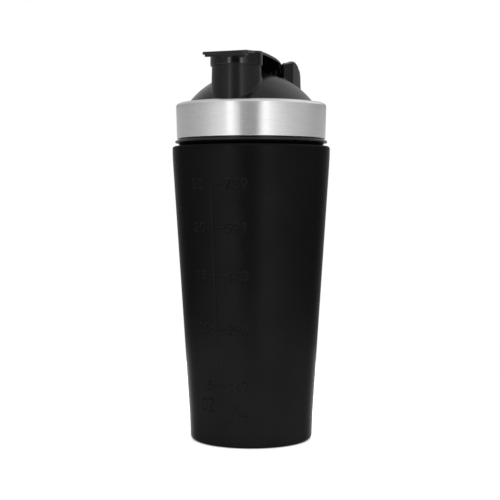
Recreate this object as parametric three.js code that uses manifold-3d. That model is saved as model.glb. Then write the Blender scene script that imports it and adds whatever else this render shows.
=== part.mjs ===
// A protein shaker bottle: a powder-coated steel cup, a screw lid with a dome and a pouring spout
// inside a brushed steel band, a mixing grid under the dome, a flip cap that seals the spout, and a
// carry loop on the cap's hinge pin.
// Millimetres, +Z up. The origin is the centre of the cup's foot, and the spout faces -Y.

import * as THREE from 'three';
import { mergeVertices } from 'three/addons/utils/BufferGeometryUtils.js';
import Module from 'manifold-3d';

const wasm = await Module();
wasm.setup();

// ---- Driving dimensions ----

const GAP = 0.3; // between pieces that touch on the real bottle
const RIM_SEGMENTS = 48; // facets around the cup and the lid
const TUBE_SEGMENTS = 32; // facets around the spout and the cap's collar
const PIN_SEGMENTS = 20;

const CUP = {
  wall: 0.8,
  footInner: 29, // inner radius of the foot ring
  recess: 1.6, // how far the base is pushed up inside the foot ring
  cornerRadius: 2.4,
  baseRadius: 35.95,
  kink: { r: 36.5, z: 15.8 }, // the steep lowest stretch ends here
  topKink: { r: 45.9, z: 159.5 }, // the long taper ends here
  shoulderRadius: 46.4,
  shoulderCorner: 1.5,
  shoulderZ: 172.7,
  neckRadius: 39.5,
  mouthZ: 192,
};

const THREAD = {
  pitch: 5,
  depth: 1, // how far a ridge stands out of its wall
  root: 2.2, // axial width of a ridge at its wall
  crest: 1.2,
  clearance: 0.4, // radial, between a crest and the facing wall
  neckTurns: 1.75,
  lidTurns: 1.5,
  lowZ: 178.6, // centre of the neck ridge where it starts
  stepsPerTurn: 32,
  fadeTurns: 0.06, // the length over which a ridge rises at its ends
};

const LID = {
  bottomZ: 173.2,
  lipRadius: 42.5,
  rimRadius: 44.8,
  rimZ: [174.7, 177],
  deckZ: 196.6,
  deckThickness: 2.2,
  domeRadius: 46,
  domeCentreZ: 170.5,
  wall: 2.2,
};

const BAND = {
  thickness: 0.8,
  bottomRadius: 43.7,
  topRadius: 44.2,
  corner: 2.5,
  topZ: 197.7,
  innerRadius: 38.1,
};

const SPOUT = { y: -23.2, topRadius: 13.8, baseRadius: 14.4, bore: 12.2, topZ: 221.3, baseZ: 200 };

const PIN = { y: 17.4, z: 217.5, radius: 1.5, halfLength: 15.2 };
const EAR = { inner: 8, outer: 10.8, radius: 3.3, footHalfWidth: 6.5, footZ: 208 };

const CAP = {
  tabY: -42.4,
  halfWidth: 13.6,
  tabCorner: 2.2,
  thickness: 1.7,
  lipThickness: 2.9, // plate and the second layer under the thumb tab together
  lipHalfWidth: 12.6,
  lipY: [-41.4, -37.4],
  collarRadius: 15,
  collarWall: 0.9,
  collarBottomZ: 217.5,
  bossRadius: 9.7,
  bossBottomZ: 218,
  knuckleRadius: 3.3,
  // The strap's upper line from the thumb tab back to the hinge, as [y, z].
  topLine: [[-42.4, 224.1], [-30, 225.1], [-17, 226], [-4, 225.6], [6, 224.8], [12, 223.7], [15.2, 222.4]],
};

const LOOP = {
  halfWidth: 17.5,
  eyeHalfWidth: 15.7,
  innerHalfWidth: 14.7,
  eyeInnerHalfWidth: 14.1,
  outerCorner: 6,
  innerCorner: 3.5,
  bulgeY: 25, // the legs are straight behind this
  frontY: 13.4,
  frontFootZ: 213.8,
  rearY: 45,
  innerRearY: 39.8,
  bottomZ: 199.1,
  footCorner: 3.2,
  domeClearance: 1,
  blindBore: 15.5, // the pin's holes stop short of the outer faces
  // The upper edge in side view, from the foot of the rear bar to the hinge end, as [y, z].
  topLine: [
    [44.8, 209.5], [44.3, 213], [43.9, 216.6], [42.8, 219.2], [40.2, 220.6], [36.5, 221.8],
    [33.7, 223.2], [31.1, 224.3], [28.3, 225], [24.8, 224.9], [21.6, 224.1], [18.5, 223.4], [15.2, 222.9],
  ],
};

const GASKET = { inner: 37.9, outer: 40.5, z: [192.3, 194.1] };

const GRID = {
  outer: 36.9,
  wall: 1.2,
  flangeRadius: 37.6,
  flangeZ: [192.5, 194.1],
  floorZ: 184,
  floorThickness: 1.8,
  hole: 6,
  holePitch: 8.8,
};

// ---- Colours and surfaces ----

const blackCoat = new THREE.MeshStandardMaterial({ color: 0x121314, roughness: 0.45, metalness: 0.3 });
const blackPlastic = new THREE.MeshStandardMaterial({ color: 0x1b1c1d, roughness: 0.38 });
const capPlastic = new THREE.MeshStandardMaterial({ color: 0x202122, roughness: 0.33 });
const brushedSteel = new THREE.MeshStandardMaterial({ color: 0xc9cacb, roughness: 0.3, metalness: 1 });
const polishedSteel = new THREE.MeshStandardMaterial({ color: 0xd4d5d6, roughness: 0.18, metalness: 1 });
const silicone = new THREE.MeshStandardMaterial({ color: 0x3a3c3e, roughness: 0.75 });

// ---- Shape helpers ----

const bottle = new THREE.Group();

function addPiece(name, geometry, material) {
  const mesh = new THREE.Mesh(geometry, material);
  mesh.name = name;
  bottle.add(mesh);
}

// A closed mesh with shared corners and no collapsed triangles.
function welded(geometry) {
  const bare = geometry.clone();
  bare.deleteAttribute('normal');
  bare.deleteAttribute('uv');
  const merged = mergeVertices(bare, 1e-4);
  const corners = merged.index.array;
  const kept = [];
  for (let i = 0; i < corners.length; i += 3) {
    const [a, b, c] = corners.subarray(i, i + 3);
    if (a !== b && b !== c && c !== a) kept.push(a, b, c);
  }
  merged.setIndex(kept);
  return merged;
}

function toSolid(geometry) {
  const mesh = welded(geometry);
  const vertProperties = new Float32Array(mesh.attributes.position.array);
  const triVerts = new Uint32Array(mesh.index.array);
  return new wasm.Manifold(new wasm.Mesh({ numProp: 3, vertProperties, triVerts }));
}

function toGeometry(solid) {
  const { vertProperties, triVerts } = solid.getMesh();
  const geometry = new THREE.BufferGeometry();
  geometry.setAttribute('position', new THREE.BufferAttribute(vertProperties, 3));
  geometry.setIndex(new THREE.BufferAttribute(triVerts, 1));
  return geometry;
}

// Revolves an outline of [radius, z] points around Z. The outline runs up the outside.
function revolved(outline, segments = RIM_SEGMENTS) {
  const points = outline.map(([r, z]) => new THREE.Vector2(r, z));
  return welded(new THREE.LatheGeometry(points, segments).rotateX(Math.PI / 2));
}

function arc(centreX, centreY, radius, fromDegrees, toDegrees, steps = 4) {
  return Array.from({ length: steps + 1 }, (_, i) => {
    const angle = THREE.MathUtils.degToRad(THREE.MathUtils.lerp(fromDegrees, toDegrees, i / steps));
    return [centreX + radius * Math.cos(angle), centreY + radius * Math.sin(angle)];
  });
}

// A round bar or frustum along Z.
function post(x, y, bottomZ, topZ, bottomRadius, topRadius = bottomRadius, segments = TUBE_SEGMENTS) {
  const geometry = new THREE.CylinderGeometry(topRadius, bottomRadius, topZ - bottomZ, segments);
  return geometry.rotateX(Math.PI / 2).translate(x, y, (topZ + bottomZ) / 2);
}

// A round bar along X, centred on the hinge pin.
function hingeBar(fromX, toX, radius, segments = PIN_SEGMENTS) {
  const geometry = new THREE.CylinderGeometry(radius, radius, toX - fromX, segments);
  return geometry.rotateZ(Math.PI / 2).translate((toX + fromX) / 2, PIN.y, PIN.z);
}

function block(fromX, toX, fromY, toY, fromZ, toZ) {
  const geometry = new THREE.BoxGeometry(toX - fromX, toY - fromY, toZ - fromZ);
  return geometry.translate((fromX + toX) / 2, (fromY + toY) / 2, (fromZ + toZ) / 2);
}

// Extrudes a plan outline, drawn in X and Y, upwards.
function planExtrusion(shape, fromZ, toZ) {
  const options = { depth: toZ - fromZ, bevelEnabled: false, curveSegments: 8 };
  return new THREE.ExtrudeGeometry(shape, options).translate(0, 0, fromZ);
}

// Extrudes a side outline, drawn in Y and Z, along X.
function sideExtrusion(shape, fromX, toX) {
  const options = { depth: toX - fromX, bevelEnabled: false, curveSegments: 8 };
  const [x, y, z] = [[1, 0, 0], [0, 1, 0], [0, 0, 1]].map((axis) => new THREE.Vector3(...axis));
  const turn = new THREE.Matrix4().makeBasis(y, z, x);
  return new THREE.ExtrudeGeometry(shape, options).applyMatrix4(turn).translate(fromX, 0, 0);
}

// A screw ridge: a straight bar of the ridge's section, bent round Z. It stands outwards from
// wallRadius with side = 1, and inwards with side = -1, and its foot is sunk into the wall.
function screwRidge(wallRadius, side, startZ, turns) {
  const sink = -0.4;
  const [halfRoot, halfCrest] = [THREAD.root / 2, THREAD.crest / 2];
  const section = new THREE.Shape();
  section.moveTo(-halfRoot, side * sink);
  section.lineTo(halfRoot, side * sink);
  section.lineTo(halfRoot, 0);
  section.lineTo(halfCrest, side * THREAD.depth);
  section.lineTo(-halfCrest, side * THREAD.depth);
  section.lineTo(-halfRoot, 0);
  const steps = Math.round(turns * THREAD.stepsPerTurn);
  const ridge = new THREE.ExtrudeGeometry(section, { depth: turns, steps, bevelEnabled: false });
  const place = ridge.attributes.position;
  for (let i = 0; i < place.count; i += 1) {
    const turn = place.getZ(i);
    const fade = Math.min(1, 0.05 + Math.min(turn, turns - turn) / THREAD.fadeTurns);
    const offset = place.getY(i);
    const radius = wallRadius + (Math.sign(offset) === side ? offset * fade : offset);
    const angle = 2 * Math.PI * turn;
    const z = startZ + place.getX(i) + THREAD.pitch * turn;
    place.setXYZ(i, radius * Math.cos(angle), radius * Math.sin(angle), z);
  }
  return ridge;
}

const domeHeight = (radius, distance) => Math.sqrt(radius ** 2 - distance ** 2);
const degreesFromCosine = (ratio) => THREE.MathUtils.radToDeg(Math.acos(ratio));

// ---- Cup ----

function makeCup() {
  const inner = (r) => r - CUP.wall;
  const floorZ = CUP.recess + CUP.wall;
  const cornerZ = CUP.shoulderZ - CUP.shoulderCorner;
  const lipCentre = CUP.neckRadius - CUP.wall / 2;
  const outline = [
    [0, CUP.recess],
    [CUP.footInner - 1.2, CUP.recess],
    [CUP.footInner, 0],
    ...arc(CUP.baseRadius - CUP.cornerRadius, CUP.cornerRadius, CUP.cornerRadius, -90, 0),
    [CUP.kink.r, CUP.kink.z],
    [CUP.topKink.r, CUP.topKink.z],
    [CUP.shoulderRadius - 0.15, CUP.topKink.z + 5],
    ...arc(CUP.shoulderRadius - CUP.shoulderCorner, cornerZ, CUP.shoulderCorner, 0, 90),
    [CUP.neckRadius + 1.5, CUP.shoulderZ],
    [CUP.neckRadius, CUP.shoulderZ + 1.5],
    ...arc(lipCentre, CUP.mouthZ - CUP.wall / 2, CUP.wall / 2, 0, 180, 3),
    [inner(CUP.neckRadius), CUP.shoulderZ + 0.6],
    [inner(CUP.neckRadius) + 1.4, CUP.shoulderZ - CUP.wall],
    ...arc(CUP.shoulderRadius - CUP.shoulderCorner, cornerZ, CUP.shoulderCorner - CUP.wall, 90, 0, 3),
    [inner(CUP.shoulderRadius) - 0.15, CUP.topKink.z + 5],
    [inner(CUP.topKink.r), CUP.topKink.z],
    [inner(CUP.kink.r), CUP.kink.z],
    ...arc(inner(CUP.baseRadius) - 3, floorZ + 3, 3, 0, -90),
    [0, floorZ],
  ];
  const ridge = screwRidge(CUP.neckRadius, 1, THREAD.lowZ, THREAD.neckTurns);
  return toGeometry(toSolid(revolved(outline)).add(toSolid(ridge)));
}

// ---- Lid ----

const skirtInner = CUP.neckRadius + THREAD.depth + THREAD.clearance;
const bandInnerAt = (z) => {
  const share = (z - LID.rimZ[1]) / (BAND.topZ - LID.rimZ[1]);
  return THREE.MathUtils.lerp(BAND.bottomRadius, BAND.topRadius, share) - BAND.thickness;
};

function domeArc(radius, baseRadius) {
  const start = degreesFromCosine(baseRadius / radius);
  return arc(0, LID.domeCentreZ, radius, start, 90, 9).slice(0, -1);
}

function lidBody() {
  const baseRadius = domeHeight(LID.domeRadius, LID.deckZ - LID.domeCentreZ);
  const outline = [
    [0, LID.bottomZ],
    [LID.lipRadius, LID.bottomZ],
    [LID.lipRadius, LID.rimZ[0]],
    [LID.rimRadius - 0.5, LID.rimZ[0]],
    [LID.rimRadius, LID.rimZ[0] + 0.5],
    [LID.rimRadius, LID.rimZ[1] - 0.4],
    [LID.rimRadius - 0.4, LID.rimZ[1]],
    [bandInnerAt(LID.rimZ[1]) - GAP, LID.rimZ[1]],
    [bandInnerAt(LID.deckZ - 2) - GAP, LID.deckZ - 2],
    [bandInnerAt(LID.deckZ) - GAP - 2, LID.deckZ],
    ...domeArc(LID.domeRadius, baseRadius),
    [0, LID.domeCentreZ + LID.domeRadius],
  ];
  return revolved(outline);
}

function lidCavity() {
  const innerRadius = LID.domeRadius - LID.wall;
  const deckUnderZ = LID.deckZ - LID.deckThickness;
  const outline = [
    [0, LID.bottomZ - 1],
    [skirtInner, LID.bottomZ - 1],
    [skirtInner, deckUnderZ],
    ...domeArc(innerRadius, domeHeight(innerRadius, deckUnderZ - LID.domeCentreZ)),
    [0, LID.domeCentreZ + innerRadius],
  ];
  return revolved(outline);
}

function hingeEar(fromX, toX) {
  const outline = new THREE.Shape();
  outline.moveTo(PIN.y - EAR.footHalfWidth, EAR.footZ);
  outline.lineTo(PIN.y + EAR.footHalfWidth, EAR.footZ);
  outline.absarc(PIN.y, PIN.z, EAR.radius, 0, Math.PI, false);
  return sideExtrusion(outline, fromX, toX);
}

function makeLid() {
  const spout = post(0, SPOUT.y, SPOUT.baseZ - 5, SPOUT.topZ, SPOUT.baseRadius, SPOUT.topRadius);
  const bore = post(0, SPOUT.y, LID.deckZ - 8, SPOUT.topZ + 1, SPOUT.bore);
  const ridge = screwRidge(skirtInner, -1, THREAD.lowZ + THREAD.pitch / 2, THREAD.lidTurns);
  const solid = toSolid(lidBody())
    .add(toSolid(spout))
    .add(toSolid(hingeEar(EAR.inner, EAR.outer)))
    .add(toSolid(hingeEar(-EAR.outer, -EAR.inner)))
    .subtract(toSolid(lidCavity()))
    .subtract(toSolid(bore))
    .subtract(toSolid(hingeBar(-EAR.outer - 1, EAR.outer + 1, PIN.radius + GAP)))
    .add(toSolid(ridge));
  return toGeometry(solid);
}

function makeBand() {
  const bottomZ = LID.rimZ[1] + GAP;
  const corner = [BAND.topRadius - BAND.corner, BAND.topZ - BAND.corner];
  const outline = [
    [BAND.bottomRadius - BAND.thickness, bottomZ],
    [BAND.bottomRadius, bottomZ],
    ...arc(...corner, BAND.corner, 0, 90),
    [BAND.innerRadius, BAND.topZ],
    [BAND.innerRadius, BAND.topZ - BAND.thickness],
    ...arc(...corner, BAND.corner - BAND.thickness, 90, 0),
    [BAND.bottomRadius - BAND.thickness, bottomZ],
  ];
  return revolved(outline);
}

function makeGasket() {
  const [low, high] = GASKET.z;
  const outline = [
    [GASKET.inner, low],
    [GASKET.outer, low],
    [GASKET.outer, high],
    [GASKET.inner, high],
    [GASKET.inner, low],
  ];
  return revolved(outline);
}

// ---- Mixing grid ----

// A disc with a square lattice of holes, as far out as whole holes fit.
function gridFloor() {
  const reach = GRID.outer - GRID.wall - 1;
  const half = GRID.hole / 2;
  const [low, high] = [GRID.floorZ, GRID.floorZ + GRID.floorThickness];
  const count = Math.floor(reach / GRID.holePitch);
  let floor = toSolid(post(0, 0, low, high, GRID.outer - GAP, GRID.outer - GAP, RIM_SEGMENTS));
  for (let column = -count; column <= count; column += 1) {
    for (let row = -count; row <= count; row += 1) {
      const [x, y] = [column * GRID.holePitch, row * GRID.holePitch];
      if (Math.hypot(Math.abs(x) + half, Math.abs(y) + half) < reach) {
        floor = floor.subtract(toSolid(block(x - half, x + half, y - half, y + half, low - 1, high + 1)));
      }
    }
  }
  return floor;
}

function makeGrid() {
  const inner = GRID.outer - GRID.wall;
  const outline = [
    [inner, GRID.floorZ],
    [GRID.outer, GRID.floorZ],
    [GRID.outer, GRID.flangeZ[0]],
    [GRID.flangeRadius, GRID.flangeZ[0]],
    [GRID.flangeRadius, GRID.flangeZ[1]],
    [inner, GRID.flangeZ[1]],
    [inner, GRID.floorZ],
  ];
  return toGeometry(toSolid(revolved(outline)).add(gridFloor()));
}

// ---- Flip cap ----

const toPoints = (pairs) => pairs.map(([x, y]) => new THREE.Vector2(x, y));

// The strap runs into the top of the hinge knuckle.
const capTopLine = new THREE.SplineCurve(
  toPoints([...CAP.topLine, [PIN.y + 0.9, PIN.z + CAP.knuckleRadius - 0.1]]),
);

// The side outline of a sheet that hangs below the strap's upper line.
function sheetUnderTopLine(thickness) {
  const steps = 20;
  const upper = capTopLine.getPoints(steps);
  const lower = upper.map((point, i) => {
    const along = capTopLine.getTangent(i / steps);
    return new THREE.Vector2(point.x + along.y * thickness, point.y - along.x * thickness);
  });
  return new THREE.Shape([...upper, ...lower.reverse()]);
}

function capPlan() {
  const { tabY, halfWidth, tabCorner } = CAP;
  const rearY = PIN.y + CAP.knuckleRadius + 1;
  const outline = new THREE.Shape();
  outline.moveTo(halfWidth, rearY);
  outline.lineTo(-halfWidth, rearY);
  outline.lineTo(-halfWidth, tabY + tabCorner);
  outline.absarc(-halfWidth + tabCorner, tabY + tabCorner, tabCorner, Math.PI, 1.5 * Math.PI, false);
  outline.absarc(halfWidth - tabCorner, tabY + tabCorner, tabCorner, 1.5 * Math.PI, 2 * Math.PI, false);
  return outline;
}

function makeCap() {
  const { collarRadius, collarBottomZ, knuckleRadius, halfWidth } = CAP;
  const wide = collarRadius + 1;
  const [underZ, overZ] = [collarBottomZ - 5, 230];
  const sheet = (thickness) => toSolid(sideExtrusion(sheetUnderTopLine(thickness), -wide, wide));
  const plan = toSolid(planExtrusion(capPlan(), underZ, overZ)).add(
    toSolid(post(0, SPOUT.y, underZ, overZ, collarRadius)),
  );
  const lip = sheet(CAP.lipThickness).intersect(
    toSolid(block(-CAP.lipHalfWidth, CAP.lipHalfWidth, ...CAP.lipY, underZ, overZ)),
  );
  const deepSheet = sheet(overZ - SPOUT.topZ).translate([0, 0, -0.2]);
  const collar = toSolid(post(0, SPOUT.y, collarBottomZ, overZ, collarRadius)).intersect(deepSheet);
  const collarHole = post(0, SPOUT.y, underZ, SPOUT.topZ + GAP, collarRadius - CAP.collarWall);
  const boss = post(0, SPOUT.y, CAP.bossBottomZ, SPOUT.topZ + 1, CAP.bossRadius);
  const slotY = [PIN.y - EAR.radius - 1.2, PIN.y + 10];
  const slotZ = [PIN.z - 10, PIN.z + 10];
  const slotInner = EAR.inner - GAP - 0.1;
  const slotOuter = EAR.outer + GAP + 0.1;
  const solid = sheet(CAP.thickness)
    .intersect(plan)
    .add(lip)
    .add(collar)
    .add(toSolid(hingeBar(-halfWidth, halfWidth, knuckleRadius)))
    .subtract(toSolid(collarHole))
    .add(toSolid(boss))
    .subtract(toSolid(block(slotInner, slotOuter, ...slotY, ...slotZ)))
    .subtract(toSolid(block(-slotOuter, -slotInner, ...slotY, ...slotZ)))
    .subtract(toSolid(hingeBar(-halfWidth - 1, halfWidth + 1, PIN.radius + GAP)));
  return toGeometry(solid);
}

// A soft ring on the cap's boss, with a bead that wipes the spout's bore.
function makeSpoutSeal() {
  const inner = CAP.bossRadius + GAP;
  const outer = SPOUT.bore - 0.6;
  const [bottomZ, topZ] = [CAP.bossBottomZ, SPOUT.topZ];
  const beadZ = bottomZ + 1.4;
  const outline = [
    [inner, bottomZ],
    [outer - 0.4, bottomZ],
    ...arc(outer - 0.3, beadZ, 0.6, -70, 70, 4),
    [outer, topZ],
    [inner, topZ],
    [inner, bottomZ],
  ];
  return revolved(outline, TUBE_SEGMENTS).translate(0, SPOUT.y, 0);
}

// ---- Carry loop ----

function loopPlan() {
  const { halfWidth, eyeHalfWidth, innerHalfWidth, eyeInnerHalfWidth, bulgeY, innerRearY } = LOOP;
  const { outerCorner, innerCorner, frontY, rearY } = LOOP;
  const startY = frontY - 1;
  const outline = new THREE.Shape();
  outline.moveTo(eyeHalfWidth, startY);
  outline.lineTo(halfWidth, bulgeY);
  outline.absarc(halfWidth - outerCorner, rearY - outerCorner, outerCorner, 0, Math.PI / 2, false);
  outline.absarc(-halfWidth + outerCorner, rearY - outerCorner, outerCorner, Math.PI / 2, Math.PI, false);
  outline.lineTo(-halfWidth, bulgeY);
  outline.lineTo(-eyeHalfWidth, startY);
  outline.lineTo(-eyeInnerHalfWidth, startY);
  outline.lineTo(-innerHalfWidth, bulgeY);
  const cornerX = innerHalfWidth - innerCorner;
  outline.absarc(-cornerX, innerRearY - innerCorner, innerCorner, Math.PI, Math.PI / 2, true);
  outline.absarc(cornerX, innerRearY - innerCorner, innerCorner, Math.PI / 2, 0, true);
  outline.lineTo(innerHalfWidth, bulgeY);
  outline.lineTo(eyeInnerHalfWidth, startY);
  return outline;
}

// The lower edge follows the dome. The rear face leans out towards its foot.
function loopSide() {
  const { frontY, frontFootZ, bottomZ, rearY, footCorner } = LOOP;
  const domeReach = LID.domeRadius + LOOP.domeClearance;
  const saddleRadius = domeHeight(domeReach, LOOP.eyeInnerHalfWidth);
  const saddleAngle = (y) => Math.acos(y / saddleRadius);
  const saddleEndY = domeHeight(saddleRadius, bottomZ - LID.domeCentreZ);
  const outline = new THREE.Shape();
  outline.moveTo(frontY, frontFootZ);
  outline.absarc(0, LID.domeCentreZ, saddleRadius, saddleAngle(PIN.y), saddleAngle(saddleEndY), true);
  outline.lineTo(rearY - footCorner, bottomZ);
  outline.quadraticCurveTo(rearY - 0.1, bottomZ, rearY - 0.1, bottomZ + footCorner);
  const upperEdge = new THREE.SplineCurve(toPoints(LOOP.topLine));
  upperEdge.getPoints(24).forEach((point) => outline.lineTo(point.x, point.y));
  const [lastY, lastZ] = LOOP.topLine.at(-1);
  outline.quadraticCurveTo(frontY, lastZ - 0.2, frontY, lastZ - (lastY - frontY));
  return outline;
}

function makeLoop() {
  const wide = LOOP.halfWidth + 1;
  const highest = Math.max(...LOOP.topLine.map(([, z]) => z));
  const band = toSolid(planExtrusion(loopPlan(), LOOP.bottomZ - 2, highest + 2));
  const side = toSolid(sideExtrusion(loopSide(), -wide, wide));
  const bore = toSolid(hingeBar(-LOOP.blindBore, LOOP.blindBore, PIN.radius + GAP));
  return toGeometry(band.intersect(side).subtract(bore));
}

// ---- Assembly ----

addPiece('cup', makeCup(), blackCoat);
addPiece('lid_shell', makeLid(), blackPlastic);
addPiece('lid_band', makeBand(), brushedSteel);
addPiece('lid_gasket', makeGasket(), silicone);
addPiece('mixing_grid', makeGrid(), blackPlastic);
addPiece('flip_cap', makeCap(), capPlastic);
addPiece('spout_seal', makeSpoutSeal(), silicone);
addPiece('carry_loop', makeLoop(), capPlastic);
addPiece('hinge_pin', welded(hingeBar(-PIN.halfLength, PIN.halfLength, PIN.radius)), polishedSteel);

export default bottle;
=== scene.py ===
# A protein shaker bottle, dressed for rendering: fine meshes and node materials for every piece of
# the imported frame, a plain white studio, and a camera in front of the spout's right side.
# The sizes below are in millimetres, and mesh data is turned into metres as it is made.
import math

import bmesh
import bpy
import numpy as np
from mathutils import Matrix, Vector


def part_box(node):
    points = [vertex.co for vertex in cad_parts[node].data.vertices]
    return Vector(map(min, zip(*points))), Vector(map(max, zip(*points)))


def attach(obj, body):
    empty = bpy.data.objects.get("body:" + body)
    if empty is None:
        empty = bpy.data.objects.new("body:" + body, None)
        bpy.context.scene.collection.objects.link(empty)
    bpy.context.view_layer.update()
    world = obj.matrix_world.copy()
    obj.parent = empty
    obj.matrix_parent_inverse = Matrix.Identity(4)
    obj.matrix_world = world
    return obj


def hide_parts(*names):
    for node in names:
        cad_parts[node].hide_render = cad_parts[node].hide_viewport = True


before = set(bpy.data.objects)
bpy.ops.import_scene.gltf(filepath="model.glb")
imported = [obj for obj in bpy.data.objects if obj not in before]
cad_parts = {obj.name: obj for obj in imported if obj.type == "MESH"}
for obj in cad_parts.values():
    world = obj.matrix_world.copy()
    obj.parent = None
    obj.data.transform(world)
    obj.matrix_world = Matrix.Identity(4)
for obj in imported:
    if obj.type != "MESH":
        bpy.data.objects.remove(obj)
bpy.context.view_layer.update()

MM = 0.001


def node_box(node):
    """Lowest and highest corner of a frame node, in millimetres."""
    low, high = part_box(node)
    return np.array(low) / MM, np.array(high) / MM


# ---- Driving dimensions ----

_, CUP_HIGH = node_box("cup")
SHELL_LOW, SHELL_HIGH = node_box("lid_shell")
BAND_LOW, BAND_HIGH = node_box("lid_band")
GASKET_LOW, GASKET_HIGH = node_box("lid_gasket")
CAP_LOW, CAP_HIGH = node_box("flip_cap")
SEAL_LOW, SEAL_HIGH = node_box("spout_seal")
LOOP_LOW, _ = node_box("carry_loop")
PIN_LOW, PIN_HIGH = node_box("hinge_pin")
PIN_Y, PIN_Z = ((PIN_LOW + PIN_HIGH) / 2)[1:]
PIN_RADIUS = (PIN_HIGH - PIN_LOW)[2] / 2
GAP = 0.3
BORE_GAP = 0.15

# Cup: outline radii and heights. A kink is a (radius, height) where the wall's slope changes.
CUP_WALL = 0.8
SHOULDER_RADIUS = CUP_HIGH[0]
SHOULDER_Z = 172.7
NECK_RADIUS = 39.5
MOUTH_Z = CUP_HIGH[2]
FOOT_RADIUS = 35.95
FOOT_INNER = 29.0
KINK = (36.5, 15.8)
TOP_KINK = (45.9, 159.5)

# Screw thread.
PITCH = 5.0
RIDGE_DEPTH = 1.0
RIDGE_ROOT = 2.2
RIDGE_CREST = 1.2
NECK_RIDGE_Z = 178.6
NECK_TURNS = 1.75
LID_TURNS = 1.5

# Lid.
DOME_RADIUS = 46.0
DOME_Z = 170.5
LID_WALL = 2.2
DECK_Z = 196.6
RIM_Z = (174.7, 177.0)
RIM_GROOVE = 1.05  # from the rim's top up to the band's foot in CAD
BAND_DROP = 0.35  # how far the band's foot reaches down into that groove
GROOVE_DEPTH = 1.0
LIP_RADIUS = 42.5
RIM_RADIUS = SHELL_HIGH[0]
SKIRT_INNER = NECK_RADIUS + RIDGE_DEPTH + 0.4
BAND_WALL = 0.8
BAND_FOOT_RADIUS = 43.7
BAND_RADIUS = BAND_HIGH[0]
BAND_CORNER = 2.0
BAND_INNER = 38.1
GASKET_INNER = 37.9
SPOUT_Y = -23.2
SPOUT_TOP_RADIUS = 13.8
SPOUT_BASE_RADIUS = 14.4
SPOUT_BORE = 12.2
SPOUT_TOP_Z = 221.3
EAR_X = (8.0, 10.8)
EAR_RADIUS = 3.6
EAR_FOOT = (6.5, 208)  # half its length along Y, and the height it starts from

# Flip cap. CAP_LINE is the strap's upper line from the thumb tab to the hinge, as (y, z).
CAP_HALF_WIDTH = 13.6
CAP_THICKNESS = 1.7
LIP_THICKNESS = 2.9
LIP_Y = (-41.4, -37.4)
TAB_CORNER = 2.2
COLLAR_RADIUS = CAP_HIGH[0]
COLLAR_WALL = 0.9
COLLAR_FOOT_Z = 217.5
BOSS_RADIUS = 9.7
KNUCKLE_RADIUS = 3.3
CAP_LINE = [(CAP_LOW[1], 224.1), (-30, 225.1), (-17, 226.0), (-4, 225.6), (6, 224.8), (12, 223.7),
            (15.2, 222.4), (PIN_Y + 0.9, PIN_Z + KNUCKLE_RADIUS - 0.1)]

# Carry loop. In plan its legs run back from the hinge end and bulge at LOOP_BULGE_Y. LOOP_TOP is
# its upper edge in side view, from the hinge end back, as (y, z), and LOOP_INSET is how far its rear
# face stands in from the widest outline, as (z, distance).
LOOP_OUTER = {"eye": 15.7, "side": 17.5, "rear": 45.0, "corner": 6.0}
LOOP_INNER = {"eye": 14.1, "side": 14.7, "rear": 39.8, "corner": 3.5}
LOOP_BULGE_Y = 25.0
LOOP_EDGE = 0.75
LOOP_TOP = [(LOOP_LOW[1], 221.4), (13.8, 222.4), (14.6, 222.8), (15.4, 222.95), (18.5, 223.4),
            (21.6, 224.1), (24.8, 224.9), (28.3, 225.0), (31.1, 224.3), (33.7, 223.2), (36.5, 221.8),
            (40.2, 220.6), (42.8, 219.8)]
LOOP_INSET = [(199.1, 3.2), (199.5, 1.9), (200.4, 0.8), (202.3, 0.2), (204.5, 0.1), (209.5, 0.35),
              (212.9, 0.5), (216.6, 0.6), (218.3, 0.8), (220, 1.1), (221.6, 1.5)]

# Graduated scale: ounces, millilitres and the height of each tick. Distances along the wall are
# measured where the cup is SCALE_RADIUS wide, and narrow with it below.
SCALE_ANGLE = math.radians(-8.4)
SCALE_RADIUS = 45.3
SCALE_ROWS = [("25", "739", 150.0), ("20", "591", 125.4), ("15", "443", 98.3),
              ("10", "296", 68.5), ("5", "147", 36.0)]
UNITS_Z = 23.6
UNITS_SIZE = 1.35
DIGIT_WIDTH = 3.7
DIGIT_HEIGHT = 5.0
DIGIT_ADVANCE = 4.8
SIGN_DEPTH = 0.3
TICK_DEPTH = 0.14
TICKS = [(-4.3, -1.4), (2.8, 6.9)]
LINE_DEPTH = 0.26
LINE_FADE = 0.8  # the upright line fades out over this length before each end tick
# The upright line's depth across it, as (distance, share): a wide left side and a steep right one.
LINE_PROFILE = [(-1.1, 0), (-0.8, 0.08), (0.2, 0.95), (0.42, 1), (0.8, 0)]
SCALE_REACH = 26  # nothing is pressed in further than this from the line
SCALE_SPAN = (10, 158)  # nor below or above these heights
FINE_ARC = (-22, 31)  # degrees from the line, between which the cup's mesh is fine
FINE_STEPS = 200
COARSE_STEPS = 104


# ---- Mesh helpers ----

def make_object(name, verts, faces, body=None, slot=None, nodes=(), material=None, sharp_degrees=35):
    """A mesh piece from points in millimetres. It rides on body and stands for the given nodes.
    Without a body it is a loose solid, to be joined to or cut from another."""
    mesh = bpy.data.meshes.new(name)
    mesh.from_pydata((np.asarray(verts) * MM).tolist(), [], faces)
    tidy_mesh(mesh, sharp_degrees)
    piece = bpy.data.objects.new(name, mesh)
    bpy.context.scene.collection.objects.link(piece)
    if body:
        dress(piece, body, nodes, material)
    return piece


def tidy_mesh(mesh, sharp_degrees=35, weld=1e-7):
    """Welds the mesh, turns its faces outwards and shades it smooth up to the given angle."""
    work = bmesh.new()
    work.from_mesh(mesh)
    bmesh.ops.remove_doubles(work, verts=work.verts, dist=weld)
    bmesh.ops.dissolve_degenerate(work, edges=work.edges, dist=1e-8)
    bmesh.ops.recalc_face_normals(work, faces=work.faces)
    work.to_mesh(mesh)
    work.free()
    mesh.shade_smooth()
    mesh.set_sharp_from_angle(angle=math.radians(sharp_degrees))


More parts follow.
